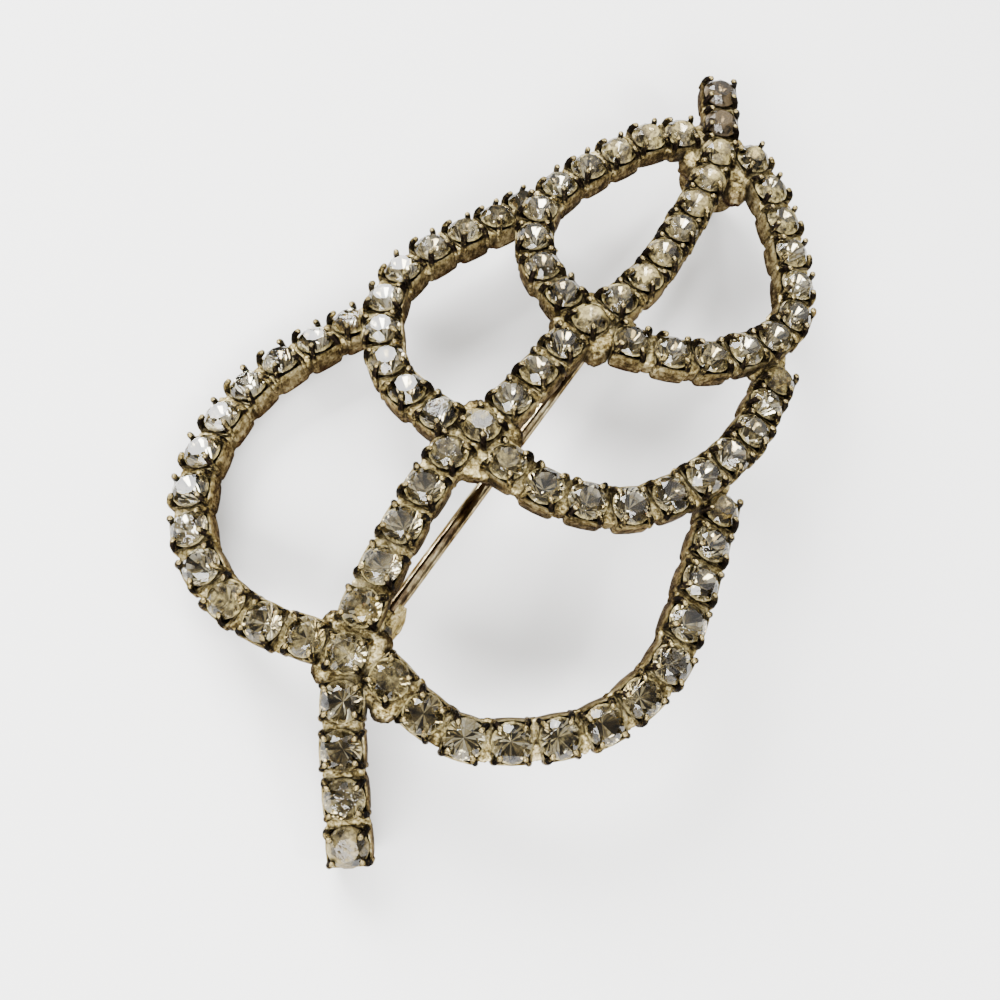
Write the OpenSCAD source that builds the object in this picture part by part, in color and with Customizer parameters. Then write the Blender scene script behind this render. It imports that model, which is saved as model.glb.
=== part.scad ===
// Leaf brooch made of cup chain: a midrib with three loops of round cut stones
// in clawed cups, soldered into one frame, with a hinged pin behind it.
// Millimetres. The leaf lies face up, as it rests, with its tip towards +Y.

/* [Stones] */
// Diameter of a stone at its girdle
stone_d = 2.85; // [2.7:0.05:2.9]
// Height of the crown above the girdle
crown_h = 0.75; // [0.5:0.05:0.9]
// Depth of the pavilion below the girdle
pavilion_h = 1.35; // [1.1:0.05:1.4]
// Width of the table as a share of the stone
table_share = 0.56; // [0.45:0.01:0.65]

/* [Cups] */
// Width of a cup across the strand
cup_w = 3.2; // [3.1:0.05:3.25]
// Length of a cup along the strand
cup_l = 2.9; // [2.85:0.05:3]
// Depth of a cup from its rim to its base
cup_h = 1.75; // [1.6:0.05:1.9]
// Cut across each upright edge of a cup
cup_corner = 0.25; // [0.15:0.01:0.25]
// Height of the rim relative to the girdle
rim_z = -0.2; // [-0.3:0.05:-0.15]
// Free space beside a stone
seat_play = 0.1; // [0.08:0.01:0.12]

/* [Claws] */
// Diameter of a claw
claw_d = 0.45; // [0.4:0.01:0.45]
// Height of the claw tips above the girdle
claw_tip_z = 0.65; // [0.5:0.05:0.8]

/* [Solder] */
// Width of the solder between two cups
link_w = 2.6; // [2:0.1:2.7]
// Height of the solder between two cups
link_h = 1.2; // [0.8:0.1:1.3]

/* [Pin] */
// Diameter of the pin wire
wire_d = 1.1; // [0.9:0.05:1.1]
// Distance from the hinge rivet to the middle of the catch
pin_reach = 50.7; // [48:0.1:52]
// Length of the sharpened end
point_l = 5; // [4:0.5:6]
// How far the point passes the middle of the catch
point_past = 2.5; // [2:0.1:3]
// Diameter of the hinge rivet
rivet_d = 0.8; // [0.7:0.05:0.9]
// Radial play of the eye on its rivet
eye_play = 0.05; // [0.03:0.01:0.08]

/* [Catch] */
// Diameter of the round catch
catch_d = 5.4; // [5:0.1:5.6]
// Length of the catch along the pin
catch_l = 2; // [1.6:0.1:2.4]
// Width of the slot that the pin swings into
slot_w = 1; // [0.95:0.05:1.1]

/* [Hidden] */

brass = [0.62, 0.54, 0.38];
old_copper = [0.48, 0.33, 0.24];
clear_glass = [0.86, 0.85, 0.78];

// How the leaf lies: turned onto its three feet, then set on the ground
// with its box centred on the origin.
rest_turn = [3.03, -6.9, 0];
rest_shift = [2.78, -10.59, 9.46];

// Strands in the leaf's own plane, x to the right and y to the tip.
// Columns: number of stones, drop of the first stone, stones over which that
// drop fades, drop of the last stone, stones over which that drop fades,
// points that the strand runs through.
STONES = 0;
DROP_A = 1;
FADE_A = 2;
DROP_B = 3;
FADE_B = 4;
POINTS = 5;
rib = [24, 0, 1, 0, 1,
       [[0.7, 45.6], [3, 38.4], [2.3, 24.5], [-0.6, 16.4], [-3, 6.9],
        [-5.1, 1], [-5.3, -11.8], [-3.2, -18.3], [0.6, -25]]];
tip_right = [11, 0, 1, 0, 1,
             [[5.7, 40.5], [9.9, 36.2], [14.1, 27], [9.5, 19.2], [3.4, 17.1]]];
tip_left = [9, 0, 1, 0, 1,
            [[-3, 18.9], [-6.8, 22.2], [-8, 28.7], [-2.6, 38.6], [-0.7, 39.7]]];
middle_left = [10, 1.9, 4, 0, 1,
               [[-10, 28], [-11.2, 25.1], [-15.8, 15.3], [-12.3, 7.2], [-7, 4.7]]];
middle_right = [10, 0, 1, 1.8, 5,
                [[-0.8, 3.1], [3.9, 2.6], [9.7, 5.1], [14, 13], [14.9, 21.5]]];
base_left = [12, 1.5, 5, 0, 1,
             [[-17.5, 10.9], [-21.5, 2.9], [-21.8, -5], [-18.8, -11.1],
              [-13.5, -14.2], [-8, -14.2]]];
base_right = [12, 0, 1, 1.7, 5,
              [[-1.5, -14.4], [4.5, -15.8], [11.8, -11.9], [15, -6.8],
               [15.5, -2.7], [14.6, 8.2]]];
curve_steps = 12;

// Height of the domed leaf over its own plane, x and y in centimetres.
function dome_cm(x, y) =
    -0.88 * x * x + 0.25 * x * y - 0.66 * y * y + 0.092 * pow(y, 3) - 0.083 * x * y * y;
function dome_z(x, y) = dome_cm(x / 10, y / 10);
function on_dome(q) = [q[0], q[1], dome_z(q[0], q[1])];

// A smooth curve through the points, with straight ends.
function padded(pts) = concat([2 * pts[0] - pts[1]], pts,
                              [2 * pts[len(pts) - 1] - pts[len(pts) - 2]]);
function blend(a, b, c, d, t) =
    (2 * b + (c - a) * t + (2 * a - 5 * b + 4 * c - d) * t * t
     + (3 * b - a - 3 * c + d) * pow(t, 3)) / 2;
function curve(pts) =
    let (p = padded(pts))
    concat([for (i = [1 : len(pts) - 1], k = [0 : curve_steps - 1])
            on_dome(blend(p[i - 1], p[i], p[i + 1], p[i + 2], k / curve_steps))],
           [on_dome(pts[len(pts) - 1])]);

// Stone places: equal steps along the curve, with the ends dropped.
function lengths(c) = [for (i = 0, s = 0; i < len(c);
                            i = i + 1, s = s + (i < len(c) ? norm(c[i] - c[i - 1]) : 0)) s];
function at_length(c, s_all, s) =
    [for (k = [0 : 1]) lookup(s, [for (i = [0 : len(c) - 1]) [s_all[i], c[i][k]]])];
function fade(i, n) = pow(max(0, (n - i) / n), 2);
function drop(strand, i) =
    strand[DROP_A] * fade(i, strand[FADE_A])
    + strand[DROP_B] * fade(strand[STONES] - 1 - i, strand[FADE_B]);
function places(strand) =
    let (c = curve(strand[POINTS]), s_all = lengths(c), n = strand[STONES])
    [for (i = [0 : n - 1])
     let (q = at_length(c, s_all, s_all[len(c) - 1] * i / (n - 1)))
     on_dome(q) - [0, 0, drop(strand, i)]];

// A cup's own axes: x along its strand, z out of the dome.
slope_step = 0.5;
function unit(v) = v / norm(v);
function dome_normal(p) =
    unit([dome_z(p[0] - slope_step, p[1]) - dome_z(p[0] + slope_step, p[1]),
          dome_z(p[0], p[1] - slope_step) - dome_z(p[0], p[1] + slope_step),
          2 * slope_step]);
function axes_from(along, up) =
    let (x = unit(along), z = unit(up - (up * x) * x), y = cross(z, x))
    [x, y, z];
function cup_axes(all, i) =
    axes_from(all[min(i + 1, len(all) - 1)] - all[max(i - 1, 0)], dome_normal(all[i]));

module stand(p, a) {
    multmatrix([[a[0][0], a[1][0], a[2][0], p[0]],
                [a[0][1], a[1][1], a[2][1], p[1]],
                [a[0][2], a[1][2], a[2][2], p[2]],
                [0, 0, 0, 1]])
        children();
}

module at_stones(strand) {
    all = places(strand);
    for (i = [0 : len(all) - 1]) stand(all[i], cup_axes(all, i)) children();
}
module at_stone(strand, i) {
    all = places(strand);
    stand(all[i], cup_axes(all, i)) children();
}

module lay() {
    translate(rest_shift) rotate(rest_turn) children();
}

// One cut stone: an eight-sided table, a crown of 24 facets, 16 below.
stone_r = stone_d / 2;
table_r = stone_r * table_share;
girdle_n = 16;
table_n = 8;
module stone() {
    rim_pts = [for (k = [0 : girdle_n - 1]) stone_r * dir(k * 360 / girdle_n, 0)];
    table_pts = [for (k = [0 : table_n - 1])
                 table_r * dir(k * 360 / table_n, 0) + [0, 0, crown_h]];
    culet = girdle_n + table_n;
    polyhedron(
        concat(rim_pts, table_pts, [[0, 0, -pavilion_h]]),
        concat(
            [[for (k = [table_n - 1 : -1 : 0]) girdle_n + k]],
            [for (k = [0 : table_n - 1]) [girdle_n + k, girdle_n + (k + 1) % table_n, 2 * k + 1]],
            [for (k = [0 : table_n - 1]) [girdle_n + k, 2 * k + 1, 2 * k]],
            [for (k = [0 : table_n - 1]) [girdle_n + k, 2 * k, (2 * k + girdle_n - 1) % girdle_n]],
            [for (k = [0 : girdle_n - 1]) [k, (k + 1) % girdle_n, culet]]));
}
function dir(a, z) = [cos(a), sin(a), z];

// The conical seat that a stone's pavilion drops into.
seat_lap = 0.05;
function seat_r(z) = stone_r * (1 + z / pavilion_h) + seat_play;
module seat() {
    low = -pavilion_h - seat_lap;
    high = rim_z + seat_lap;
    translate([0, 0, low])
        cylinder(r1 = seat_r(low), r2 = seat_r(high), h = high - low, $fn = 32);
}

// Room for a crown that another strand's cup or claw would reach.
crown_play = 0.04;
module crown_room() {
    translate([0, 0, rim_z]) cylinder(r = stone_r + crown_play, h = -rim_z, $fn = 32);
    cylinder(r1 = stone_r + crown_play, r2 = table_r + crown_play,
             h = crown_h + crown_play, $fn = 32);
}

// One cup: a square box with its upright edges cut.
module cup() {
    x = cup_l / 2;
    y = cup_w / 2;
    c = cup_corner;
    translate([0, 0, rim_z - cup_h])
        linear_extrude(cup_h)
            polygon([[x - c, -y], [x, c - y], [x, y - c], [x - c, y],
                     [c - x, y], [-x, y - c], [-x, c - y], [c - x, -y]]);
}

// Four claws on the rim, leaning in over the stone.
claw_turn = 50;
claw_root = [1.76, -0.3];
claw_tip_r = 1.56;
module claws() {
    lean = atan2(claw_root[0] - claw_tip_r, claw_tip_z - claw_root[1]);
    reach = norm([claw_root[0] - claw_tip_r, claw_tip_z - claw_root[1]]);
    for (a = [claw_turn, 180 - claw_turn, 180 + claw_turn, -claw_turn])
        rotate([0, 0, a])
            translate([claw_root[0], 0, claw_root[1]])
                rotate([0, -lean, 0])
                    cylinder(d = claw_d, h = reach, $fn = 16);
}

// Solder between two neighbouring cups.
link_top = -0.45;
link_inset = 1.25;
module link(p, q) {
    span = norm(q - p) - 2 * link_inset;
    mid = (p + q) / 2;
    stand(mid, axes_from(q - p, dome_normal(mid)))
        translate([-span / 2, -link_w / 2, link_top - link_h])
            cube([span, link_w, link_h]);
}
module links(strand) {
    all = places(strand);
    for (i = [0 : len(all) - 2]) link(all[i], all[i + 1]);
}

strands = [rib, tip_right, tip_left, middle_left, middle_right, base_left, base_right];

// Stones of two strands whose cups are soldered where the strands meet.
R = places(rib);
TR = places(tip_right);
TL = places(tip_left);
ML = places(middle_left);
MR = places(middle_right);
BL = places(base_left);
BR = places(base_right);
joins = [[R[2], TR[0]], [R[2], TL[8]], [R[9], TR[10]], [R[9], TL[0]],
         [R[13], ML[9]], [R[14], MR[0]], [R[13], MR[0]],
         [R[19], BL[11]], [R[19], BR[0]]];
// Stones that lie behind another strand: the upper one, then the lower one.
laps = [[TL[3], ML[0]], [TR[6], MR[9]], [ML[5], BL[0]], [MR[5], BR[11]]];
// Stones so near another strand that its metal would reach their crowns.
crowded = [[middle_left, 0], [middle_right, 9], [base_left, 0], [base_right, 11],
           [rib, 2], [rib, 18], [rib, 19]];

// A solder bead that holds a strand's end behind the strand above it.
bead_r = 1.1;
module lap_bead(upper, lower) {
    top = upper + [0, 0, link_top - link_h];
    foot = lower + [0, 0, link_top - link_h];
    mid = (top + foot) / 2;
    stand(mid, axes_from(foot - top, [0, 0, 1]))
        cube([norm(foot - top), 2 * bead_r, bead_r], center = true);
}

// The pin's own axes: x along the pin, z away from the leaf's back.
hinge_at = [-4.05, -10.2, -4.1];
catch_at = [2.95, 39.7, -9.25];
pin_axes = axes_from(catch_at - hinge_at, [0, 0, -1]);
ear_gap = 1.25;
ear_t = 0.6;
ear_l = 1.8;
ear_low = 0.85;
ear_up = 2.1;
eye_r = 0.95;
eye_w = 1.1;
bracket_l = 5;
bracket_w = 3.4;
bracket_t = 0.7;
rivet_head = 0.15;
module hinge_bracket() {
    stand(hinge_at, pin_axes) {
        for (s = [-1, 1])
            translate([-ear_l / 2, s * (ear_gap + ear_t) / 2 - ear_t / 2, -ear_up])
                cube([ear_l, ear_t, ear_up + ear_low]);
        rotate([90, 0, 0])
            cylinder(d = rivet_d, h = ear_gap + 2 * ear_t + 2 * rivet_head,
                     center = true, $fn = 48);
        translate([-bracket_l / 2, ear_gap / 2 + ear_t - bracket_w, -ear_up])
            cube([bracket_l, bracket_w, bracket_t]);
    }
}

catch_neck_w = 2.6;
catch_neck_l = 3;
catch_neck_h = 1.3;
catch_neck_top = 0.45;
module catch() {
    stand(hinge_at, pin_axes)
        translate([pin_reach, 0, 0]) {
            difference() {
                rotate([0, 90, 0])
                    cylinder(d = catch_d, h = catch_l, center = true, $fn = 64);
                rotate([0, 90, 0])
                    cylinder(d = slot_w, h = catch_l + 1, center = true, $fn = 48);
                translate([-catch_l, -slot_w / 2, 0])
                    cube([2 * catch_l, slot_w, catch_d]);
            }
            translate([-catch_neck_l / 2, -catch_neck_w / 2, -catch_d / 2 - catch_neck_top])
                cube([catch_neck_l, catch_neck_w, catch_neck_h]);
        }
}

module leaf_frame() {
    color(brass)
        lay() {
            difference() {
                union() {
                    for (s = strands) {
                        at_stones(s) {
                            cup();
                            claws();
                        }
                        links(s);
                    }
                    for (j = joins) link(j[0], j[1]);
                    for (j = laps) lap_bead(j[0], j[1]);
                    hinge_bracket();
                    catch();
                }
                for (s = strands) at_stones(s) seat();
                for (c = crowded) at_stone(c[0], c[1]) crown_room();
            }
        }
}

module rib_stones() {
    color(clear_glass) lay() at_stones(rib) stone();
}

module tip_loop_stones() {
    color(clear_glass) lay() for (s = [tip_right, tip_left]) at_stones(s) stone();
}

module middle_loop_stones() {
    color(clear_glass) lay() for (s = [middle_left, middle_right]) at_stones(s) stone();
}

module base_loop_stones() {
    color(clear_glass) lay() for (s = [base_left, base_right]) at_stones(s) stone();
}

point_r = 0.12;
module pin_stem() {
    straight_l = pin_reach + point_past - point_l;
    color(old_copper)
        lay()
            stand(hinge_at, pin_axes)
                difference() {
                    union() {
                        rotate([90, 0, 0])
                            cylinder(r = eye_r, h = eye_w, center = true, $fn = 48);
                        rotate([0, 90, 0]) cylinder(d = wire_d, h = straight_l, $fn = 48);
                        translate([straight_l, 0, 0])
                            rotate([0, 90, 0])
                                cylinder(d1 = wire_d, r2 = point_r, h = point_l, $fn = 48);
                    }
                    rotate([90, 0, 0])
                        cylinder(d = rivet_d + 2 * eye_play, h = 2 * eye_w,
                                 center = true, $fn = 48);
                }
}

leaf_frame();
rib_stones();
tip_loop_stones();
middle_loop_stones();
base_loop_stones();
pin_stem();
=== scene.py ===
# %% [markdown]
# # A leaf brooch of cup chain
#
# The brooch is a leaf drawn with strands of cup chain: small square metal cups,
# each with four claws around one round cut stone, soldered side by side. This
# script loads the measured solids and dresses them with finer metal, faceted
# glass and worn finishes. Shapes are worked out in millimetres and scaled to
# metres at the end, because one Blender unit is one metre here.

# %% Load the measured solids
import itertools
import math
import random

import bmesh
import bpy
from mathutils import Matrix, Vector, kdtree, noise


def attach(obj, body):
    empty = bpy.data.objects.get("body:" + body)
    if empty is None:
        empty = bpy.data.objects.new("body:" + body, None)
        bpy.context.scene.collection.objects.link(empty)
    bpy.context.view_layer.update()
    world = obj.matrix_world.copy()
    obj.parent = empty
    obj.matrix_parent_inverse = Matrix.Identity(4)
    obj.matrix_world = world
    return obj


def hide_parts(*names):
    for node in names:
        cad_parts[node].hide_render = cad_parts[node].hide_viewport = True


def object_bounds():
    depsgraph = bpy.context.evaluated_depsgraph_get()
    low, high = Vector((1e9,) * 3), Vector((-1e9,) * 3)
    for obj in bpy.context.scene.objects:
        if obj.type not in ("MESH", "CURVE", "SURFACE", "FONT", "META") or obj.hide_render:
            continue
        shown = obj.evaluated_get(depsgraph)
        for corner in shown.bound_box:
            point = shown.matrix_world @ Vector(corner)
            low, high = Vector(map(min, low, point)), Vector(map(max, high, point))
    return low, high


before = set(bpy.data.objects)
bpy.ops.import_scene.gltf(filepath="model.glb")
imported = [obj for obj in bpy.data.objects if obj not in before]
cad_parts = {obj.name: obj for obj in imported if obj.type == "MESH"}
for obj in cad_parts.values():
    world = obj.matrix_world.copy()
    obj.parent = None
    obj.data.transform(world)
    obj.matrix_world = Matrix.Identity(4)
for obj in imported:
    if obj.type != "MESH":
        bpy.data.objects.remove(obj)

MM = 0.001
cad_box = [list(corner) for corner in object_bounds()]
rng = random.Random(11)
print("solids:", sorted(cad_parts), "box in mm:",
      [[round(v / MM, 2) for v in corner] for corner in cad_box])

# %% [markdown]
# ## The lines of the leaf
#
# A maker lays the chain out on a domed former: first the midrib, then three
# pairs of curves that cross it and tuck behind one another. Each strand is a
# smooth curve through a few points, and its stones stand at equal steps along
# it. The same few numbers drew the solids, so every cup made here lands on its
# own solid. Copying numbers is better than measuring the mesh, because each
# cup's direction is known as well as its place.

# %% Strands and the points that they run through
# name: number of stones; how deep the first one is tucked under, and over how many
# stones the strand comes up again; the same two for its last stone; its points
STRANDS = {
    "rib": (24, 0, 1, 0, 1,
            [(0.7, 45.6), (3, 38.4), (2.3, 24.5), (-0.6, 16.4), (-3, 6.9),
             (-5.1, 1), (-5.3, -11.8), (-3.2, -18.3), (0.6, -25)]),
    "tip_right": (11, 0, 1, 0, 1,
                  [(5.7, 40.5), (9.9, 36.2), (14.1, 27), (9.5, 19.2), (3.4, 17.1)]),
    "tip_left": (9, 0, 1, 0, 1,
                 [(-3, 18.9), (-6.8, 22.2), (-8, 28.7), (-2.6, 38.6), (-0.7, 39.7)]),
    "middle_left": (10, 1.9, 4, 0, 1,
                    [(-10, 28), (-11.2, 25.1), (-15.8, 15.3), (-12.3, 7.2), (-7, 4.7)]),
    "middle_right": (10, 0, 1, 1.8, 5,
                     [(-0.8, 3.1), (3.9, 2.6), (9.7, 5.1), (14, 13), (14.9, 21.5)]),
    "base_left": (12, 1.5, 5, 0, 1,
                  [(-17.5, 10.9), (-21.5, 2.9), (-21.8, -5), (-18.8, -11.1),
                   (-13.5, -14.2), (-8, -14.2)]),
    "base_right": (12, 0, 1, 1.7, 5,
                   [(-1.5, -14.4), (4.5, -15.8), (11.8, -11.9), (15, -6.8),
                    (15.5, -2.7), (14.6, 8.2)]),
}
# how the finished leaf is turned and moved to lie on the table
LAY = (Matrix.Translation((2.78, -10.59, 9.46))
       @ Matrix.Rotation(math.radians(-6.9), 4, "Y")
       @ Matrix.Rotation(math.radians(3.03), 4, "X"))

# %% Lay the curves on the dome
CURVE_STEPS = 12


def dome(x, y):
    """Height of the former over a place on the table, all in millimetres."""
    x, y = x / 10, y / 10
    return -0.88 * x * x + 0.25 * x * y - 0.66 * y * y + 0.092 * y ** 3 - 0.083 * x * y * y


def on_dome(x, y):
    return Vector((x, y, dome(x, y)))


def dome_normal(p, step=0.5):
    return Vector((dome(p.x - step, p.y) - dome(p.x + step, p.y),
                   dome(p.x, p.y - step) - dome(p.x, p.y + step), 2 * step)).normalized()


def blend(a, b, c, d, t):
    """A point on the smooth curve from b to c, with a before them and d after."""
    return (2 * b + (c - a) * t + (2 * a - 5 * b + 4 * c - d) * t * t
            + (3 * b - a - 3 * c + d) * t ** 3) / 2


def curve(points):
    pts = [Vector(p) for p in points]
    pts = [2 * pts[0] - pts[1]] + pts + [2 * pts[-1] - pts[-2]]
    line = [blend(*pts[i - 1:i + 3], k / CURVE_STEPS)
            for i in range(1, len(pts) - 2) for k in range(CURVE_STEPS)]
    return [on_dome(*p) for p in line + [pts[-2]]]


# %% Step the stones along each curve
def places(stones, drop_a, fade_a, drop_b, fade_b, points):
    """The middles of a strand's stones, at equal steps along its curve."""
    line = curve(points)
    run = [0.0]
    for a, b in zip(line, line[1:]):
        run.append(run[-1] + (b - a).length)
    found = []
    for i in range(stones):
        want = run[-1] * i / (stones - 1)
        k = max(j for j in range(len(run) - 1) if run[j] <= want)
        t = (want - run[k]) / (run[k + 1] - run[k])
        x, y = (line[k].lerp(line[k + 1], t)).xy
        drop = (drop_a * max(0, (fade_a - i) / fade_a) ** 2
                + drop_b * max(0, (fade_b - (stones - 1 - i)) / fade_b) ** 2)
        found.append(on_dome(x, y) - Vector((0, 0, drop)))
    return found


def stand(at, along, up):
    """A matrix that stands a shape at a point, x along the strand and z up."""
    x = along.normalized()
    z = (up - up.dot(x) * x).normalized()
    m = Matrix((x, z.cross(x), z)).transposed().to_4x4()
    m.translation = at
    return m


PLACES = {name: places(*values) for name, values in STRANDS.items()}
CUPS = {}
for name, spots in PLACES.items():
    before, after = spots[:1] + spots[:-1], spots[1:] + spots[-1:]
    CUPS[name] = [stand(p, b - a, dome_normal(p)) for a, p, b in zip(before, spots, after)]
print("cups:", {name: len(cups) for name, cups in CUPS.items()})

# %% [markdown]
# ## The camera
#
# The photograph looks down on the leaf from beyond its stem. A camera in
# Blender looks along its own -Z, so its matrix is made from three directions:
# right, up, and back towards the photographer. The camera comes before the
# shapes so that every test render can be set beside the photograph.

# %% Stand the camera where the photograph was taken
SENSOR_MM = 36
FOCAL_PIXELS, PICTURE_PIXELS = 1300, 1000
CAMERA_AT = Vector((2.73, -49.48, 92.01))
CAMERA_RIGHT = Vector((0.89141, 0.4097, 0.19373))
CAMERA_BACK = Vector((-0.00013, -0.42724, 0.90414))


def add_object(name, data):
    made = bpy.data.objects.new(name, data)
    bpy.context.scene.collection.objects.link(made)
    return made


camera_data = bpy.data.cameras.new("camera")
camera_data.sensor_width = SENSOR_MM
camera_data.lens = SENSOR_MM * FOCAL_PIXELS / PICTURE_PIXELS
camera_data.clip_start = 0.01
camera = add_object("camera", camera_data)
camera_up = CAMERA_BACK.cross(CAMERA_RIGHT)
facing = Matrix((CAMERA_RIGHT, camera_up, CAMERA_BACK)).transposed().to_4x4()
facing.translation = CAMERA_AT * MM
camera.matrix_world = facing
bpy.context.scene.camera = camera
print("camera at", [round(v / MM, 1) for v in camera.location])

# %% [markdown]
# ## Writing materials as sums
#
# A finish is a small graph of nodes. Dragging wires by hand suits a first try,
# but a script reads better when the maths looks like maths. The class below
# wraps one socket, so that `1 - mask` or `grain * 0.3` adds the Math node that
# does it. Every other node comes from one method.

# %% A socket that can be used in sums
class Wire:
    def __init__(self, finish, socket):
        self.finish = finish
        self.socket = socket

    def _math(self, how, a, b):
        return self.finish.node("ShaderNodeMath", {"operation": how}, {0: a, 1: b})

    def __add__(self, other):
        return self._math("ADD", self, other)

    __radd__ = __add__

    def __sub__(self, other):
        return self._math("SUBTRACT", self, other)

    def __rsub__(self, other):
        return self._math("SUBTRACT", other, self)

    def __mul__(self, other):
        return self._math("MULTIPLY", self, other)

    __rmul__ = __mul__

    def clamp(self):
        return self.finish.node("ShaderNodeClamp", {}, {"Value": self})


# %% A finish that holds the nodes of one material
class Finish:
    def __init__(self, name):
        self.material = bpy.data.materials.new(name)
        self.material.use_nodes = True
        self.tree = self.material.node_tree
        self.tree.nodes.clear()
        self.where = self.node("ShaderNodeTexCoord", {}, {}, "Object")

    def node(self, kind, settings, values, out=0):
        """Adds a node, sets it up, fills its sockets and gives one output."""
        made = self.tree.nodes.new(kind)
        for key, value in settings.items():
            if key == "stops":
                ramp = made.color_ramp.elements
                while len(ramp) < len(value):
                    ramp.new(0.5)
                for stop, (at, colour) in zip(ramp, value):
                    stop.position = at
                    stop.color = (*colour, 1)
            else:
                setattr(made, key, value)
        for key, value in values.items():
            if isinstance(value, Wire):
                self.tree.links.new(value.socket, made.inputs[key])
            else:
                made.inputs[key].default_value = value
        return Wire(self, made.outputs[out])

    def noise(self, per_mm, detail=3, rough=0.6, seed=0.0, where=None):
        """Noise from 0 to 1. The more per millimetre, the finer it is."""
        return self.node("ShaderNodeTexNoise", {"noise_dimensions": "4D"},
                         {"Vector": where or self.where, "Scale": per_mm / MM,
                          "Detail": detail, "Roughness": rough, "W": seed})

    def band(self, value, low, high):
        """0 below low, 1 above high, smooth between. low may be the larger."""
        return self.node("ShaderNodeMapRange", {"interpolation_type": "SMOOTHSTEP"},
                         {"Value": value, "From Min": low, "From Max": high})

    def mix(self, share, a, b):
        """a where the share is 0, b where it is 1."""
        a = a if isinstance(a, Wire) else (*a, 1)
        b = b if isinstance(b, Wire) else (*b, 1)
        return self.node("ShaderNodeMix", {"data_type": "RGBA"}, {0: share, 6: a, 7: b}, 2)

    def ramp(self, value, stops):
        return self.node("ShaderNodeValToRGB", {"stops": stops}, {"Fac": value})

    def attribute(self, name):
        return self.node("ShaderNodeAttribute", {"attribute_name": name}, {}, "Fac")

    def bump(self, height, depth_mm):
        return self.node("ShaderNodeBump", {},
                         {"Height": height, "Distance": depth_mm * MM, "Strength": 1.0})

    def surface(self, values):
        return self.node("ShaderNodeBsdfPrincipled", {}, values)

    def done(self, shader):
        output = self.tree.nodes.new("ShaderNodeOutputMaterial")
        self.tree.links.new(shader.socket, output.inputs["Surface"])
        return self.material


# %% [markdown]
# ## Worn brass
#
# The metal was once bright. Now it is a patchwork of pale crust where the solder
# ran between the cups, tan and olive walls and dark claws with rubbed sides. The
# walls turn red-brown towards their lower edges. Some colour is painted light
# and shade: the black in the wells and crannies is painted shade, the claws are
# near black, partly tarnish and partly painted shade for the dark that they
# mirror, and their pale tips are painted highlights. Where each colour sits
# depends on the part and on how high a point is on its cup, so every metal piece
# carries numbers on its vertices: its height, whether it is claw, well or crust,
# and a mood that makes one cup lighter than the next. The crannies that get
# painted shade are found by an ambient occlusion node, which asks how much open
# air a point can see. A painted image could do all this, but these numbers work
# at any distance and need no file.

# %% The finish of the cups, claws and solder
# tones from dark to light: (place on the scale, colour)
WALL_TONES = [(0.12, (0.012, 0.008, 0.004)), (0.35, (0.045, 0.031, 0.013)),
              (0.52, (0.105, 0.078, 0.036)), (0.72, (0.21, 0.168, 0.088)),
              (0.92, (0.42, 0.35, 0.2))]
CRUST_TONES = [(0.15, (0.055, 0.037, 0.013)), (0.36, (0.22, 0.165, 0.062)),
               (0.54, (0.46, 0.37, 0.165)), (0.78, (0.78, 0.66, 0.37))]
RED_BROWN = (0.028, 0.012, 0.005)
# claws: near black, partly tarnish and partly painted shade for the dark that they mirror; rubbed
# wear; a painted highlight for the tips
CLAW_TARNISH_AND_SHADE = (0.006, 0.004, 0.003)
CLAW_RUBBED = (0.22, 0.17, 0.07)
CLAW_TIP_HIGHLIGHT = (0.24, 0.19, 0.09)
# painted shade, near black, for the crannies and for the wells under the stones
CRANNY_SHADE = (0.006, 0.004, 0.002)
WELL_SHADE = (0.004, 0.003, 0.002)
BRASS_EDGE_TINT = (0.2, 0.15, 0.07, 1)
# how far a point looks for open air, in millimetres; crannies that see little of it get painted
# shade
SHADE_REACH = 1.1


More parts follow.
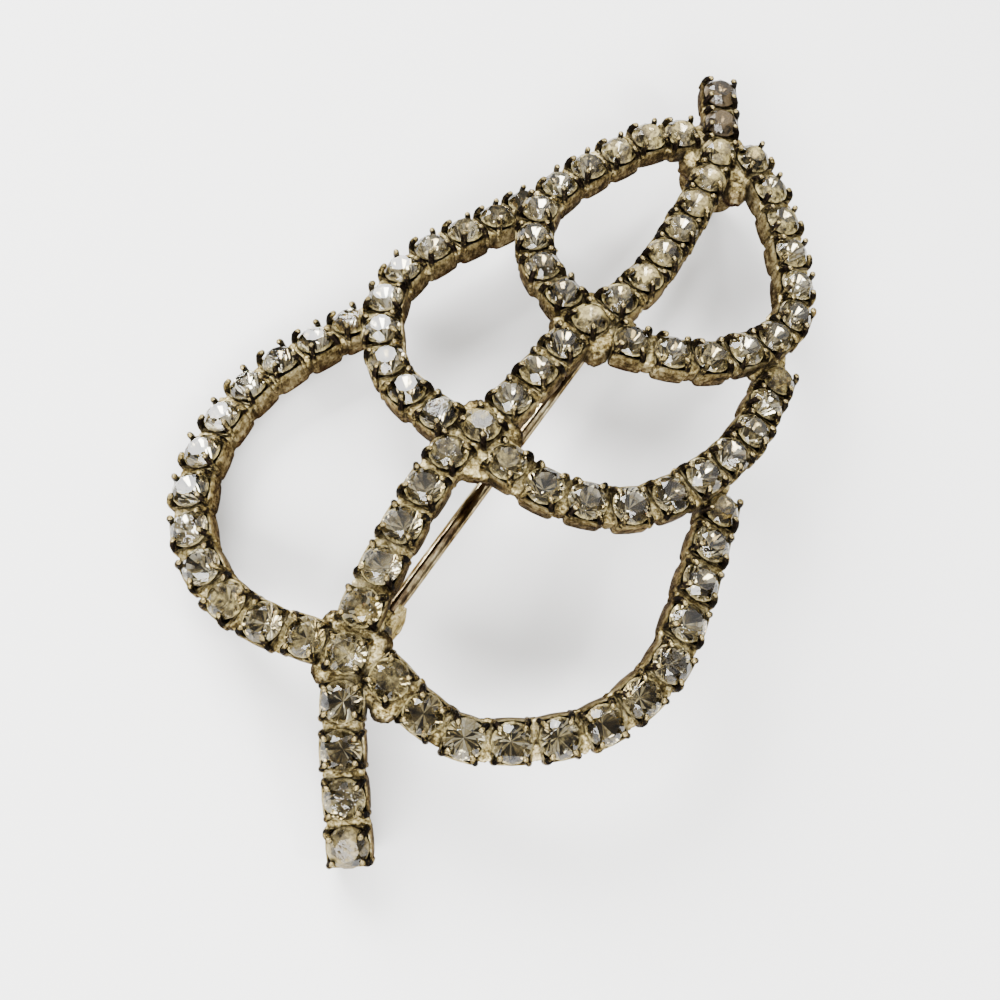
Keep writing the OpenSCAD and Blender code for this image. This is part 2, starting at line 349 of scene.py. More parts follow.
def worn_brass():
    f = Finish("worn_brass")
    height, mood = f.attribute("height"), f.attribute("mood")
    well, claw, crusty = f.attribute("well"), f.attribute("claw"), f.attribute("crust")
    patches = f.noise(0.4, 3)
    streaks = f.noise(1.6, 4, 0.7, 3.0)
    specks = f.noise(4.5, 3, 0.75, 7.0)
    open_air = f.node("ShaderNodeAmbientOcclusion", {"samples": 4},
                      {"Distance": SHADE_REACH * MM}, "AO")
    # walls, with red-brown along their lower edges
    tone = (patches + streaks * 1.6 + specks * 1.1 + mood * 0.1 - 1.4).clamp()
    lower_edge = f.band(height + streaks * 0.5, -1.0, -1.55)
    wall = f.mix(lower_edge * 0.75, f.ramp(tone, WALL_TONES), RED_BROWN)
    # crust on all that lies high, thick on the solder and thin on the cups
    crust = f.ramp((tone + specks * 0.5 - 0.25).clamp(), CRUST_TONES)
    high = f.band(height + specks * 0.35 + patches * 0.3, -0.45, 0.0)
    colour = f.mix(high * (crusty * 0.65 + 0.35), wall, crust)
    # claws, above the rims of the cups: near black, partly tarnish and partly painted shade for the
    # dark that they mirror, with rubbed patches, and a painted highlight on the tips
    side = f.mix(f.band(tone, 0.53, 0.78), CLAW_TARNISH_AND_SHADE, CLAW_RUBBED)
    tip_highlight = f.band(height + specks * 0.15, 0.62, 0.72)
    colour = f.mix(claw * f.band(height, -0.4, -0.1), colour, f.mix(tip_highlight, side, CLAW_TIP_HIGHLIGHT))
    # painted shade: black in the crannies, where little open air is seen, and in the wells under
    # the stones
    cranny_shade = f.band(open_air + specks * 0.3, 0.9, 0.5)
    colour = f.mix(well, f.mix(cranny_shade * 0.93, colour, CRANNY_SHADE), WELL_SHADE)
    rough = (0.34 - tone * 0.1 + specks * 0.16 - claw * 0.14 + cranny_shade * 0.35).clamp()
    return f.done(f.surface({
        "Base Color": colour, "Metallic": 0.92 - cranny_shade * 0.6, "Roughness": rough,
        "Specular Tint": BRASS_EDGE_TINT,
        "Normal": f.bump(specks * 0.6 + streaks * 0.8, 0.16)}))


brass = worn_brass()
print("brass has", len(brass.node_tree.nodes), "nodes")

# %% [markdown]
# ## Foiled glass
#
# Each stone is a clear glass brilliant with a mirror foil burnt on behind it.
# Light goes in through the crown, bounces between the foiled facets and comes
# out where it likes, which is what makes a stone flash. Real glass in front
# of a real mirror gives that for free: the crown faces are glass, the faces
# below the girdle are metal. Age has clouded both, so the foil is grey-brown
# in patches and a film of grime lies on the glass. A dark band in the grime's
# colours also runs round the rim of each stone, as painted shade where the
# stone sinks into its cup. Each facet carries a random number of its own, so
# that its grime differs from its neighbour's and its foil jumps between dark
# and bright, partly tarnish and partly painted flashes of reflection.

# %% The clouded glass of the crown
GLASS_COLOUR = (0.98, 0.95, 0.85, 1)
# grime colours from dark to light, also used for the painted shade round each stone's rim
DIRT_AND_RIM_SHADE_TONES = [(0.4, (0.035, 0.025, 0.01)), (0.48, (0.13, 0.1, 0.038)),
              (0.58, (0.36, 0.29, 0.115))]
SOOT = (0.06, 0.04, 0.016)
# a stone's mood is its level of grime, and between these two levels it turns sooty
SOOTY_FROM, SOOTY_TO = 1.05, 1.3


def crown_glass():
    f = Finish("clouded_glass")
    height, mood, facet = f.attribute("height"), f.attribute("mood"), f.attribute("facet")
    haze = f.noise(0.9, 3, 0.6, 2.0)
    specks = f.noise(3.2, 4, 0.7, 4.0)
    clear = f.surface({"Base Color": GLASS_COLOUR, "IOR": 1.45,
                       "Roughness": (haze * 0.12 - 0.04).clamp(), "Transmission Weight": 1.0,
                       "Normal": f.bump(haze + specks * 0.1, 0.03)})
    dirt_and_rim_shade = f.ramp(haze * 0.6 + specks * 0.4, DIRT_AND_RIM_SHADE_TONES)
    dirt_and_rim_shade = f.mix(f.band(mood, SOOTY_FROM, SOOTY_TO), dirt_and_rim_shade, SOOT)
    # this surface serves both the film of real grime and the painted shade at the rim
    grime = f.surface({"Base Color": dirt_and_rim_shade, "Roughness": 0.5, "Specular IOR Level": 0.3,
                       "Normal": f.bump(haze + specks * 0.6, 0.12)})
    # painted shade: a dark band in the grime colours round the rim of each stone, where it sinks
    # into its cup
    rim = f.band(height - specks * 0.5, 0.0, -0.22)
    film = f.band(specks * 0.8 + mood, 0.8, 1.35)
    cloudy = f.band(haze * 0.7 + specks * 0.6 + facet * 0.5, 0.65, 1.15)
    share = (rim * 0.7 + film * cloudy * 0.85).clamp()
    return f.done(f.node("ShaderNodeMixShader", {}, {0: share, 1: clear, 2: grime}))


# %% The foil behind the stones
FOIL_TONES = [(0.22, (0.05, 0.038, 0.018)), (0.4, (0.33, 0.28, 0.17)),
              (0.55, (0.74, 0.68, 0.5)), (0.78, (0.97, 0.95, 0.86))]
SOOTY_FOIL = (0.08, 0.056, 0.03)


def foil():
    f = Finish("old_foil")
    mood, facet = f.attribute("mood"), f.attribute("facet")
    age = f.noise(0.6, 3, 0.55, 5.0)
    # the foil darkens in patches of tarnish; the facet number also makes it jump from dark to
    # bright between facets, as painted flashes of reflection
    colour = f.ramp((age * 1.1 - mood * 0.2 + facet * 0.8 - 0.4).clamp(), FOIL_TONES)
    colour = f.mix(f.band(mood, SOOTY_FROM, SOOTY_TO) * 0.8, colour, SOOTY_FOIL)
    return f.done(f.surface({"Base Color": colour, "Metallic": 1.0,
                             "Roughness": (age * 0.2 - 0.05).clamp()}))


glass = crown_glass()
old_foil = foil()
print("glass has", len(glass.node_tree.nodes), "nodes, foil", len(old_foil.node_tree.nodes))

# %% [markdown]
# ## From a template to a strand
#
# A chain repeats one cup many times. The cup is modelled once as a template,
# and then stamped at each place. The claws and the stones are turned a hair
# differently every time, as hand-set work is. The rib becomes one object, and
# so do the strands of each loop, so the whole brooch stays easy to handle.

# %% Stamp a template, and turn the result into a finished piece
METAL_LAYERS = ("height", "mood", "well", "claw")


def new_bmesh(*layers):
    bm = bmesh.new()
    for name in layers:
        bm.verts.layers.float.new(name)
    return bm


def to_template(bm, name):
    mesh = bpy.data.meshes.new(name)
    bm.to_mesh(mesh)
    bm.free()
    return mesh


def copy_in(bm, template):
    """Adds a copy of a template and gives its vertices."""
    first = len(bm.verts)
    bm.from_mesh(template)
    bm.verts.ensure_lookup_table()
    return bm.verts[first:]


def stamp(bm, template, at, mood):
    """Adds a copy at a cup, with its heights over the girdle and its mood."""
    fresh = copy_in(bm, template)
    height, tint = bm.verts.layers.float["height"], bm.verts.layers.float["mood"]
    for v in fresh:
        v[height] = v.co.z
        v[tint] = mood
    bmesh.ops.transform(bm, matrix=at, verts=fresh)


def finish_piece(name, source, materials, body, nodes, smooth_angle=None):
    """Lays a mesh in place, gives it its finish and hangs it on its body."""
    if isinstance(source, bmesh.types.BMesh):
        source = to_template(source, name)
    source.transform(LAY)
    source.transform(Matrix.Scale(MM, 4))
    for material in materials:
        source.materials.append(material)
    if smooth_angle is not None:
        source.shade_smooth()
        source.set_sharp_from_angle(angle=math.radians(smooth_angle))
    piece = add_object(name, source)
    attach(piece, body)
    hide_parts(*nodes)
    triangles = sum(len(p.vertices) - 2 for p in source.polygons)
    print(f"{name}: {len(source.polygons)} faces, {triangles} triangles")


# %% [markdown]
# ## A stone
#
# A brilliant has a flat table, a ring of star facets, eight kites, sixteen
# small facets down to the girdle, and a pointed pavilion. All its corners are
# known, and a brilliant is convex, so the corners go into a bmesh and the
# convex hull operator finds the facets. Facets that lie in one plane are then
# dissolved into one face, as a cutter would polish them.

# %% Cut one stone
GIRDLE_R = 1.46
TABLE_R = GIRDLE_R * 0.56
STAR_R = 1.145
CROWN_H = 0.7
PAVILION_H = 1.35
GIRDLE_SIDES, TABLE_SIDES = 16, 8
ONE_PLANE = math.radians(0.6)
GLASS_SLOT, FOIL_SLOT = 0, 1


def stone_template():
    bm = new_bmesh("height", "mood")
    slope = CROWN_H / (GIRDLE_R - TABLE_R)
    star_z = slope * (GIRDLE_R - STAR_R * math.cos(math.pi / TABLE_SIDES))
    # corners of each ring, its radius, its height and its turn in sides
    rings = [(GIRDLE_SIDES, GIRDLE_R, 0, 0), (TABLE_SIDES, TABLE_R, CROWN_H, 0),
             (TABLE_SIDES, STAR_R, star_z, 0.5)]
    for sides, radius, z, turn in rings:
        bmesh.ops.create_circle(
            bm, segments=sides, radius=radius,
            matrix=Matrix.Translation((0, 0, z)) @ Matrix.Rotation(turn * math.tau / sides, 4, "Z"))
    bmesh.ops.create_vert(bm, co=(0, 0, -PAVILION_H))
    bmesh.ops.delete(bm, geom=bm.edges[:], context="EDGES_FACES")
    bmesh.ops.convex_hull(bm, input=bm.verts[:])
    bmesh.ops.dissolve_limit(bm, angle_limit=ONE_PLANE, verts=bm.verts[:], edges=bm.edges[:])
    bmesh.ops.recalc_face_normals(bm, faces=bm.faces[:])
    for face in bm.faces:
        face.material_index = FOIL_SLOT if face.calc_center_median().z < 0 else GLASS_SLOT
    print("a stone has", len(bm.faces), "facets")
    return to_template(bm, "stone_template")


STONE = stone_template()

# %% [markdown]
# ## Setting the stones
#
# A setter drops each stone into its cup, never quite level and never turned
# the same way twice. Grime gathers where the brooch is handled and seldom
# cleaned, so the tip of the leaf is dull and the base loop still sparkles. A
# short list for each strand says from which stone on a level of grime holds,
# which is easier to change than a number for every stone.

# %% Set the stones of each node
# strand: (first stone, grime from there on)
GRIME = {
    "rib": [(0, 1.4), (2, 1.0), (10, 0.5), (13, 0.85), (14, 0.5), (15, 0.35), (18, 0.5), (20, 0.4),
            (22, 0.6), (23, 1.08)],
    "tip_right": [(0, 0.85), (3, 0.55), (8, 0.45)],
    "tip_left": [(0, 0.45), (4, 0.6), (6, 0.95)],
    "middle_left": [(0, 0.45), (4, 0.25)],
    "middle_right": [(0, 0.5), (1, 0.3), (7, 0.55)],
    "base_left": [(0, 0.3), (4, 0.15), (9, 0.5)],
    "base_right": [(0, 0.55), (2, 0.35), (8, 0.2), (11, 0.6)],
}
GRIME_SPREAD = 0.12
NODE_STRANDS = {
    "rib_stones": ["rib"],
    "tip_loop_stones": ["tip_right", "tip_left"],
    "middle_loop_stones": ["middle_left", "middle_right"],
    "base_loop_stones": ["base_left", "base_right"],
}
STONE_TILT = 3
GIRDLE_STEP = 360 / GIRDLE_SIDES


def grime_of(strand, number):
    level = [grime for first, grime in GRIME[strand] if number >= first][-1]
    return level + rng.uniform(-GRIME_SPREAD, GRIME_SPREAD)


def turned(degrees, axis):
    return Matrix.Rotation(math.radians(degrees), 4, axis)


for node, strands in NODE_STRANDS.items():
    bm = new_bmesh("height", "mood")
    facet = bm.faces.layers.float.new("facet")
    for strand in strands:
        for number, cup in enumerate(CUPS[strand]):
            tilt = turned(rng.uniform(-STONE_TILT, STONE_TILT), "X")
            turn = turned(GIRDLE_STEP * rng.uniform(0, 2), "Z")
            first = len(bm.faces)
            stamp(bm, STONE, cup @ tilt @ turn, grime_of(strand, number))
            # each facet gets a random number, which turns the foil partly into painted flashes of
            # reflection
            bm.faces.ensure_lookup_table()
            for face in bm.faces[first:]:
                face[facet] = rng.random()
    finish_piece("cut_" + node, bm, [glass, old_foil], "brooch", [node])

# %% [markdown]
# ## A cup
#
# A real cup is stamped from sheet: a small box with rounded corners, a rounded
# base, walls that belly out, and a thin rim around the well that the stone
# drops into. A cube is beveled for the upright corners and the base and cut
# across so that each wall has a middle. Everything but those middles is then
# drawn in a little, which leaves the walls full. The top is inset to leave the
# rim and pushed down twice: a shallow step that holds the girdle, and a deep
# well below the point of the stone.

# %% Round an edge, and sink a face
def bevel(bm, edges, offset, segments):
    bmesh.ops.bevel(bm, geom=edges, offset=offset, segments=segments, profile=0.5,
                    affect="EDGES", material=-1)


def push_down(bm, face, depth, share):
    """Extrudes a face down and draws it in, and gives the new floor."""
    floor_face = bmesh.ops.extrude_discrete_faces(bm, faces=[face])["faces"][0]
    bmesh.ops.translate(bm, vec=(0, 0, -depth), verts=floor_face.verts[:])
    bmesh.ops.scale(bm, vec=(share, share, 1), verts=floor_face.verts[:])
    return floor_face


# %% Shape one cup
# length along the strand, width, height, and where the rim lies under the girdle
CUP_L, CUP_W, CUP_H, RIM_Z = 2.9, 3.2, 1.75, -0.2
RIM_T = 0.12
CORNER_R, CORNER_STEPS = 0.45, 3
BASE_R, BASE_STEPS = 0.2, 2
# how deep under the rim the walls are fullest, and how much the rest is drawn in
BELLY_DROP = 0.75
CORNERS_IN, ENDS_IN = 0.03, 0.025
STEP_DEPTH, STEP_SHARE = 0.12, 0.98
WELL_DEPTH, WELL_SHARE = 1.12, 0.45
NEAR = 0.01


def cup_template():
    bm = new_bmesh(*METAL_LAYERS)
    well = bm.verts.layers.float["well"]
    bmesh.ops.create_cube(bm, size=1)
    bmesh.ops.scale(bm, vec=(CUP_L, CUP_W, CUP_H), verts=bm.verts[:])
    bmesh.ops.translate(bm, vec=(0, 0, RIM_Z - CUP_H / 2), verts=bm.verts[:])
    bevel(bm, [e for e in bm.edges if abs(e.verts[0].co.z - e.verts[1].co.z) > CUP_H / 2],
          CORNER_R, CORNER_STEPS)
    base_z = RIM_Z - CUP_H
    bevel(bm, [e for e in bm.edges if all(v.co.z < base_z + NEAR for v in e.verts)],
          BASE_R, BASE_STEPS)
    for at, normal in (((0, 0, RIM_Z - BELLY_DROP), (0, 0, 1)), ((0, 0, 0), (1, 0, 0)),
                       ((0, 0, 0), (0, 1, 0))):
        bmesh.ops.bisect_plane(bm, geom=bm.verts[:] + bm.edges[:] + bm.faces[:],
                               plane_co=at, plane_no=normal)
    for v in bm.verts:
        middle = abs(v.co.x) < NEAR or abs(v.co.y) < NEAR
        belly = abs(v.co.z - RIM_Z + BELLY_DROP) < NEAR
        draw_in = 1 - CORNERS_IN * (not middle) - ENDS_IN * (not belly)
        bmesh.ops.scale(bm, vec=(draw_in, draw_in, 1), verts=[v])
    lid = [f for f in bm.faces if all(v.co.z > RIM_Z - NEAR for v in f.verts)]
    top = bmesh.ops.dissolve_faces(bm, faces=lid)["region"][0]
    bmesh.ops.inset_region(bm, faces=[top], thickness=RIM_T, depth=0)
    step = push_down(bm, top, STEP_DEPTH, STEP_SHARE)
    # the girdle step and the deep well are marked, and the finish paints them black as painted
    # shade under the stone
    well_shade_verts = step.verts[:]
    well_shade_verts += push_down(bm, step, WELL_DEPTH, WELL_SHARE).verts[:]
    for v in well_shade_verts:
        v[well] = 1.0
    bmesh.ops.recalc_face_normals(bm, faces=bm.faces[:])
    print("a cup has", len(bm.faces), "faces")
    return to_template(bm, "cup_template")


CUP = cup_template()

# %% [markdown]
# ## A claw
#
# Each claw is a short wire that stands on a corner of its cup and leans in
# over the stone. It starts as a small circle and is extruded up in steps. Each
# step is moved inward, leaned over and in the end made narrower, which leaves
# a rounded tip. Some claws are drawn out taller than others, as far as the top
# of the leaf allows.

# %% Shape one claw
CLAW_SIDES = 8
# distance from the stone's axis, height, radius, lean in degrees
CLAW_STEPS = [(1.79, -0.95, 0.23, 0), (1.79, -0.25, 0.24, 6), (1.69, 0.12, 0.245, 26),
              (1.48, 0.38, 0.24, 38), (1.26, 0.56, 0.205, 46), (1.17, 0.62, 0.1, 50)]


def claw_template():
    bm = new_bmesh(*METAL_LAYERS)
    out, z, radius, lean = CLAW_STEPS[0]
    bmesh.ops.create_circle(bm, cap_ends=True, segments=CLAW_SIDES, radius=radius,
                            matrix=Matrix.Translation((out, 0, z)))
    face = bm.faces[:][0]
    for out, z, next_radius, next_lean in CLAW_STEPS[1:]:
        face = bmesh.ops.extrude_discrete_faces(bm, faces=[face])["faces"][0]
        centre = face.calc_center_median()
        grow = next_radius / radius
        bmesh.ops.scale(bm, vec=(grow, grow, grow), verts=face.verts[:],
                        space=Matrix.Translation(-centre))
        bmesh.ops.rotate(bm, cent=centre, verts=face.verts[:],
                         matrix=Matrix.Rotation(math.radians(lean - next_lean), 3, "Y"))
        bmesh.ops.translate(bm, vec=Vector((out, 0, z)) - centre, verts=face.verts[:])
        radius, lean = next_radius, next_lean
    bmesh.ops.recalc_face_normals(bm, faces=bm.faces[:])
    claw = bm.verts.layers.float["claw"]
    for v in bm.verts:
        v[claw] = 1.0
    print("a claw has", len(bm.faces), "faces")
    return to_template(bm, "claw_template")


CLAW = claw_template()

# %% Stamp the cups of each loop, with four claws on each
# degrees: where a claw stands around its cup, how far it strays and how it leans
CLAW_TURN = 50
CLAW_SWAY = 4
CLAW_NOD = (-5, 1)
# how much taller a claw may be made, and how high it may reach
CLAW_GROWS = [1.2, 1.1, 1.0, 0.9, 0.8, 0.7]
CLAW_LIMIT = cad_box[1][2] / MM - 0.02
AT_RIM = Matrix.Translation((0, 0, RIM_Z))
# the first cups of the rib are much darker than the rest
DARK_CUPS, DARKER = 2, 2.5
# edges that bend by more degrees than this stay sharp
SHARP, NEVER_SHARP = 35, 180


def stretched(at):
    """Makes a claw as tall as it can be under the top of the box."""
    for grow in CLAW_GROWS:
        placed = at @ AT_RIM @ Matrix.Diagonal((1, 1, grow, 1)) @ AT_RIM.inverted()
        if max((LAY @ placed @ v.co).z for v in CLAW.vertices) < CLAW_LIMIT:
            break
    return placed


for group, strands in NODE_STRANDS.items():
    bm = new_bmesh(*METAL_LAYERS)
    for strand in strands:
        for number, cup in enumerate(CUPS[strand]):
            mood = rng.random() - (DARKER if strand == "rib" and number < DARK_CUPS else 0)
            stamp(bm, CUP, cup, mood)
            for angle in (CLAW_TURN, 180 - CLAW_TURN, 180 + CLAW_TURN, -CLAW_TURN):
                turn = turned(angle + rng.uniform(-CLAW_SWAY, CLAW_SWAY), "Z")
                nod = turned(rng.uniform(*CLAW_NOD), "Y")
                stamp(bm, CLAW, stretched(cup @ turn @ nod), mood)
    finish_piece("cups_of_" + group.replace("_stones", ""), bm, [brass], "brooch",
                 ["leaf_frame"], smooth_angle=SHARP)

# %% [markdown]
# ## Solder
#
# Solder fills the space between neighbouring cups and runs in smooth webs
# where strands meet. Blocks between the cups and beads in the corners give
# the rough mass. A voxel remesh melts them into one skin, a smooth modifier
# draws the fillets, and noise along the normals leaves the crust. Joining the
# blocks with booleans would leave sharp seams, which melted metal never has.

# %% Blocks of solder between two cups
# a block's width, height and the height of its top, and how far the gap that it
# fills starts from the middle of a stone
LINK_W, LINK_H, LINK_TOP, LINK_INSET = 2.8, 1.4, -0.28, 1.25
# the least gap that is filled, and how much longer than the gap a block is
LINK_MIN, LINK_LAP = 0.3, 0.4
# small lumps on each block: how many, how far off its middle, how deep, how big
LUMPS = 7
LUMP_ALONG, LUMP_ACROSS = 0.15, 1.45
LUMP_SINK = (0.08, 0.3)
LUMP_SIZE = (0.15, 0.34)
LAP_W, LAP_H = 2.2, 1.1

bm = bmesh.new()
bmesh.ops.create_icosphere(bm, subdivisions=2, radius=1)
LUMP = to_template(bm, "lump")


def add_lump(bm, at, size):
    bmesh.ops.transform(bm, matrix=at @ Matrix.Scale(size, 4), verts=copy_in(bm, LUMP))


def add_block(bm, at, size):
    made = bmesh.ops.create_cube(bm, size=1, matrix=at @ Matrix.Diagonal((*size, 1)))
    return made["verts"]


def add_link(bm, p, q):
    """A block with lumps on it, between two stones side by side."""
    mid = (p + q) / 2
    span = (q - p).length - 2 * LINK_INSET
    at = stand(mid, q - p, dome_normal(mid)) @ Matrix.Translation((0, 0, LINK_TOP - LINK_H / 2))
    add_block(bm, at, (max(span, LINK_MIN) + LINK_LAP, LINK_W, LINK_H))
    for _ in range(LUMPS):
        spot = Vector((rng.uniform(-LUMP_ALONG, LUMP_ALONG), rng.uniform(-LUMP_ACROSS, LUMP_ACROSS),
                       LINK_H / 2 - rng.uniform(*LUMP_SINK)))
        add_lump(bm, at @ Matrix.Translation(spot), rng.uniform(*LUMP_SIZE))


def add_lap(bm, p, q):
    """A plain block between two stones of which one lies under the other."""
    sunk = Vector((0, 0, LINK_TOP - LINK_H))
    top, foot = p + sunk, q + sunk
    at = stand((top + foot) / 2, foot - top, Vector((0, 0, 1)))
    add_block(bm, at, ((foot - top).length, LAP_W, LAP_H))


# %% Lay all the blocks and beads
# two stones that a block joins: strand and stone, strand and stone
JOINS = [("rib", 2, "tip_right", 0), ("rib", 2, "tip_left", 8), ("rib", 9, "tip_right", 10),
         ("rib", 9, "tip_left", 0), ("rib", 13, "middle_left", 9), ("rib", 14, "middle_right", 0),
         ("rib", 13, "middle_right", 0), ("rib", 19, "base_left", 11), ("rib", 19, "base_right", 0)]
LAPS = [("tip_left", 3, "middle_left", 0), ("tip_right", 6, "middle_right", 9),
        ("middle_left", 5, "base_left", 0), ("middle_right", 5, "base_right", 11)]
# beads: how far apart two stones may be, then the depth and radius of the bead between
RIB_WEB, LOOP_WEB = (5.6, 1.35, 1.15), (4.6, 1.2, 0.8)


def raw_solder():
    bm = bmesh.new()
    for spots in PLACES.values():
        for p, q in zip(spots, spots[1:]):
            add_link(bm, p, q)
    for a, i, b, j in JOINS:
        add_link(bm, PLACES[a][i], PLACES[b][j])
    for a, i, b, j in LAPS:
        add_lap(bm, PLACES[a][i], PLACES[b][j])
    beads = 0
    for (strand, spots), (_, others) in itertools.combinations(PLACES.items(), 2):
        reach, depth, radius = RIB_WEB if strand == "rib" else LOOP_WEB
        for p, q in itertools.product(spots, others):
            if (p - q).length < reach:
                mid = (p + q) / 2 - dome_normal((p + q) / 2) * depth
                add_lump(bm, Matrix.Translation(mid), radius)
                beads += 1
    print("beads:", beads)
    return bm


# %% Melt them into one skin with a crust
VOXEL = 0.156
SMOOTH_PASSES = 4
# crust: how fine the noise is and how far it moves the skin
CRUST_NOISE = [(1.9, 0.13), (4.5, 0.09)]
CRUSTED = 1.0

nearest = kdtree.KDTree(sum(len(cups) for cups in CUPS.values()))
ALL_CUPS = [cup for cups in CUPS.values() for cup in cups]
for number, cup in enumerate(ALL_CUPS):
    nearest.insert(cup.translation, number)
nearest.balance()


def local_height(point):
    """Height over the girdle of the nearest cup, in millimetres."""
    _, number, _ = nearest.find(point)
    return (ALL_CUPS[number].inverted() @ point).z


def melted(bm):
    """One skin around all the blocks and lumps, with soft fillets between them."""
    carrier = add_object("melted", to_template(bm, "melted"))
    remesh = carrier.modifiers.new("remesh", "REMESH")
    remesh.mode = "VOXEL"
    remesh.voxel_size = VOXEL
    smooth = carrier.modifiers.new("smooth", "SMOOTH")
    smooth.factor = 0.5
    smooth.iterations = SMOOTH_PASSES
    graph = bpy.context.evaluated_depsgraph_get()
    result = bpy.data.meshes.new_from_object(carrier.evaluated_get(graph))
    bpy.data.objects.remove(carrier)
    return result


def add_numbers(mesh, values):
    """Gives every vertex of a mesh the same value of each named number."""
    for name, value in values.items():
        layer = mesh.attributes.new(name, "FLOAT", "POINT")
        layer.data.foreach_set("value", [value] * len(mesh.vertices))


solder = melted(raw_solder())
outward = [v.normal.copy() for v in solder.vertices]
add_numbers(solder, {"height": 0.0, "crust": CRUSTED})
heights = solder.attributes["height"]
for v, normal in zip(solder.vertices, outward):
    v.co += normal * sum(noise.noise(v.co * fine) * depth for fine, depth in CRUST_NOISE)
    heights.data[v.index].value = local_height(v.co)
finish_piece("solder", solder, [brass], "brooch", ["leaf_frame"],
             smooth_angle=NEVER_SHARP)

# %% [markdown]
# ## The hinge and the catch
#
# Behind the leaf, two small ears hold the pin's eye on a rivet, and near the
# tip a round catch takes the point. The ears are plates with rounded ends. The
# catch is a short drum with a bore and a slot cut into it: a boolean modifier
# takes the cutters away, which is quicker than shaping the gap face by face.

# %% Rounded boxes and rods
# from the rivet along the pin, with z away from the leaf
PIN = stand(Vector((-4.05, -10.2, -4.1)), Vector((7.0, 49.9, -5.15)), Vector((0, 0, -1)))
ACROSS = Matrix.Rotation(math.pi / 2, 4, "X")
ALONG = Matrix.Rotation(math.pi / 2, 4, "Y")
ROD_STEPS = 3


def rounded_box(bm, centre, size, offset, segments=2, which=None):
    """A box with beveled edges; which picks them, all by default."""
    fresh = add_block(bm, Matrix.Translation(centre), size)
    edges = {e for v in fresh for e in v.link_edges}
    bevel(bm, [e for e in edges if which is None or which(e)], offset, segments)


def rod(bm, at, radius, length, offset, sides):
    fresh = bmesh.ops.create_cone(bm, cap_ends=True, segments=sides, radius1=radius,
                                  radius2=radius, depth=length, matrix=at)["verts"]
    rims = {e for v in fresh for e in v.link_edges if any(len(f.verts) > 4 for f in e.link_faces)}
    bevel(bm, list(rims), offset, ROD_STEPS)


# %% Build the hinge ears and the rivet
EAR_SIZE, EAR_OUT, EAR_Z = (1.8, 0.6, 2.95), 0.925, -0.625
EAR_ROUND, EAR_STEPS = 0.75, 4
PLATE_SIZE, PLATE_AT, PLATE_ROUND = (2.6, 2.9, 0.7), (-1.1, -0.7, -1.75), 0.3
RIVET_R, RIVET_L, RIVET_ROUND, RIVET_SIDES = 0.4, 2.75, 0.12, 48
# the height that the finish reads there, and the mood of both fittings
EARS_HEIGHT = -0.3
FITTING_MOOD = 0.5


def across_top(edge):
    """Whether an edge runs through the thickness of an ear at its upper end."""
    a, b = (v.co for v in edge.verts)
    at_top = min(a.z, b.z) > EAR_Z + EAR_SIZE[2] / 2 - NEAR
    return at_top and abs(a.y - b.y) > EAR_SIZE[1] / 2


bm = bmesh.new()
for side in (-1, 1):
    rounded_box(bm, (0, side * EAR_OUT, EAR_Z), EAR_SIZE, EAR_ROUND, EAR_STEPS, across_top)
rounded_box(bm, PLATE_AT, PLATE_SIZE, PLATE_ROUND)
rod(bm, ACROSS, RIVET_R, RIVET_L, RIVET_ROUND, RIVET_SIDES)
ears = to_template(bm, "ears")
ears.transform(PIN)
add_numbers(ears, {"height": EARS_HEIGHT, "mood": FITTING_MOOD, "crust": CRUSTED})
finish_piece("hinge_ears", ears, [brass], "brooch", ["leaf_frame"], smooth_angle=SHARP)

# %% Build the catch
PIN_REACH = 50.7
DRUM_R, DRUM_L, DRUM_ROUND, DRUM_SIDES = 2.7, 2.0, 0.3, 64
BORE_R, BORE_SIDES, SLOT_W = 0.5, 32, 1.0
CUTTER_L = 4
FOOT_SIZE, FOOT_AT, FOOT_ROUND = (3, 2.6, 1.3), (0, 0, -2.5), 0.2
CATCH_HEIGHT = -1.2


def cut_away(bm, cutters, name):
    """Takes each cutter's shape out of a solid, one boolean modifier for each."""
    solid, *knives = (add_object(name, to_template(b, name)) for b in (bm, *cutters))
    for knife in knives:
        cut = solid.modifiers.new("cut", "BOOLEAN")
        cut.operation = "DIFFERENCE"
        cut.object = knife
    graph = bpy.context.evaluated_depsgraph_get()
    result = bpy.data.meshes.new_from_object(solid.evaluated_get(graph))
    for each in (solid, *knives):
        bpy.data.objects.remove(each)
    return result


drum, bore, slot_cutter = bmesh.new(), bmesh.new(), bmesh.new()
rod(drum, ALONG, DRUM_R, DRUM_L, DRUM_ROUND, DRUM_SIDES)
bmesh.ops.create_cone(bore, cap_ends=True, segments=BORE_SIDES, radius1=BORE_R, radius2=BORE_R,
                      depth=CUTTER_L, matrix=ALONG)
add_block(slot_cutter, Matrix.Translation((0, 0, CUTTER_L / 2)), (CUTTER_L, SLOT_W, CUTTER_L))
bm = bmesh.new()
bm.from_mesh(cut_away(drum, [bore, slot_cutter], "drum"))
print("the drum has", len(bm.faces), "faces")
rounded_box(bm, FOOT_AT, FOOT_SIZE, FOOT_ROUND)
catch = to_template(bm, "catch")
catch.transform(PIN @ Matrix.Translation((PIN_REACH, 0, 0)))
add_numbers(catch, {"height": CATCH_HEIGHT, "mood": FITTING_MOOD})
finish_piece("catch", catch, [brass], "brooch", ["leaf_frame"], smooth_angle=SHARP)

# %% [markdown]
# ## The pin
#
# The stem is a plain straight wire, drawn through a hole in a steel plate, and
# its solid already has the right shape, so it only gets a finish here. The
# metal has gone dark in patches. Drawing leaves fine lines along a wire, and a
# noise makes them when its coordinates are squeezed along the pin, which lies
# near enough along Y.

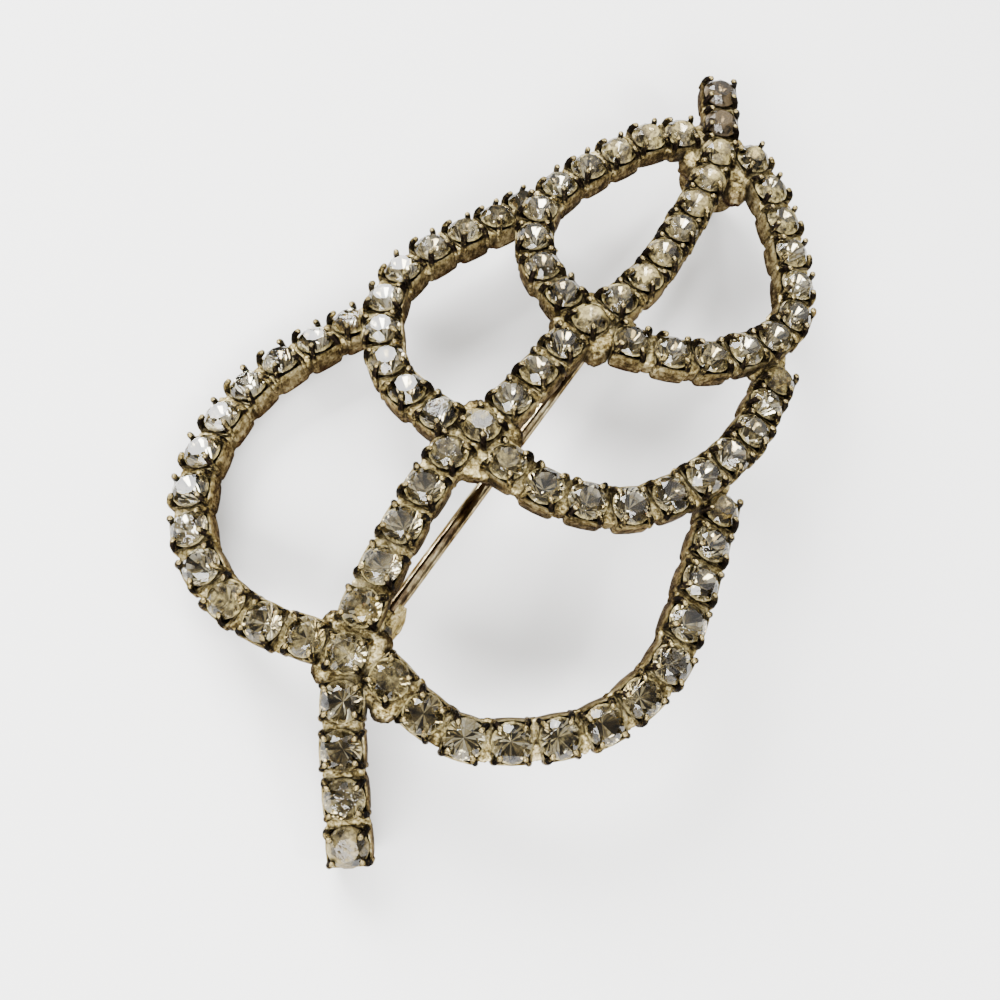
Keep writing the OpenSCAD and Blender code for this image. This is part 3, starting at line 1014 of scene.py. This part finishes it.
# %% Finish the pin stem
PIN_TONES = [(0.3, (0.02, 0.012, 0.007)), (0.5, (0.1, 0.068, 0.038)),
             (0.68, (0.3, 0.235, 0.13)), (0.9, (0.62, 0.54, 0.36))]
PIN_EDGE_TINT = (0.3, 0.24, 0.15, 1)
DRAWN_OUT = (1.0, 0.12, 1.0)


def old_copper():
    f = Finish("old_copper")
    drawn = f.node("ShaderNodeVectorMath", {"operation": "MULTIPLY"}, {0: f.where, 1: DRAWN_OUT})
    patches = f.noise(0.4, 4, 0.7, 1.0)
    scratches = f.noise(2.4, 3, 0.7, 2.0, drawn)
    tone = (patches * 1.5 + scratches * 0.9 - 0.58).clamp()
    return f.done(f.surface({"Base Color": f.ramp(tone, PIN_TONES), "Metallic": 1.0,
                             "Specular Tint": PIN_EDGE_TINT,
                             "Roughness": (scratches * 0.26 + 0.02).clamp(),
                             "Normal": f.bump(scratches, 0.03)}))


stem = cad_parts["pin_stem"]
stem.data.materials.clear()
stem.data.materials.append(old_copper())
print("the pin has the finish", stem.data.materials[0].name)

# %% [markdown]
# ## The stage
#
# The brooch lies on a pale floor under large soft lights, as in a light tent.
# Cut stones and metal show what stands around them more than their own colour,
# so each light is a wide panel for them to mirror: a window, a ceiling and a
# wall behind the camera. Small lamps alone would give hard shadows and burnt
# spots. Two small ones are added faintly, for the sparks.

# %% Floor and world
FLOOR_HALF = 1.5
FLOOR_COLOUR = (0.89, 0.888, 0.88, 1)
ROOM_COLOUR, ROOM_STRENGTH = (1, 0.97, 0.92, 1), 0.5

bm = bmesh.new()
bmesh.ops.create_grid(bm, x_segments=1, y_segments=1, size=FLOOR_HALF)
floor = add_object("floor", to_template(bm, "floor"))
pale = Finish("pale_floor")
floor.data.materials.append(pale.done(pale.surface(
    {"Base Color": FLOOR_COLOUR, "Roughness": 0.6})))

world = bpy.data.worlds.new("room")
world.use_nodes = True
background = world.node_tree.nodes["Background"]
background.inputs["Color"].default_value = ROOM_COLOUR
background.inputs["Strength"].default_value = ROOM_STRENGTH
bpy.context.scene.world = world

# %% Lights
# name: place and size in millimetres, watts
LIGHTS = {
    "window": ((-440, 260, 300), (400, 320), 14.0),
    "ceiling": ((-60, 420, 600), (1500, 900), 7.0),
    "behind_camera": ((40, -400, 270), (480, 160), 9.0),
    "side": ((320, -60, 330), (60, 60), 0.9),
    "spark": ((-140, 160, 260), (36, 36), 0.08),
}
for name, (place, (width, depth), watts) in LIGHTS.items():
    data = bpy.data.lights.new(name, "AREA")
    data.shape = "RECTANGLE"
    data.size, data.size_y = width * MM, depth * MM
    data.energy = watts
    light = add_object(name, data)
    light.location = Vector(place) * MM
    light.rotation_euler = (-light.location).to_track_quat("-Z", "Y").to_euler()
print("lights:", ", ".join(LIGHTS))
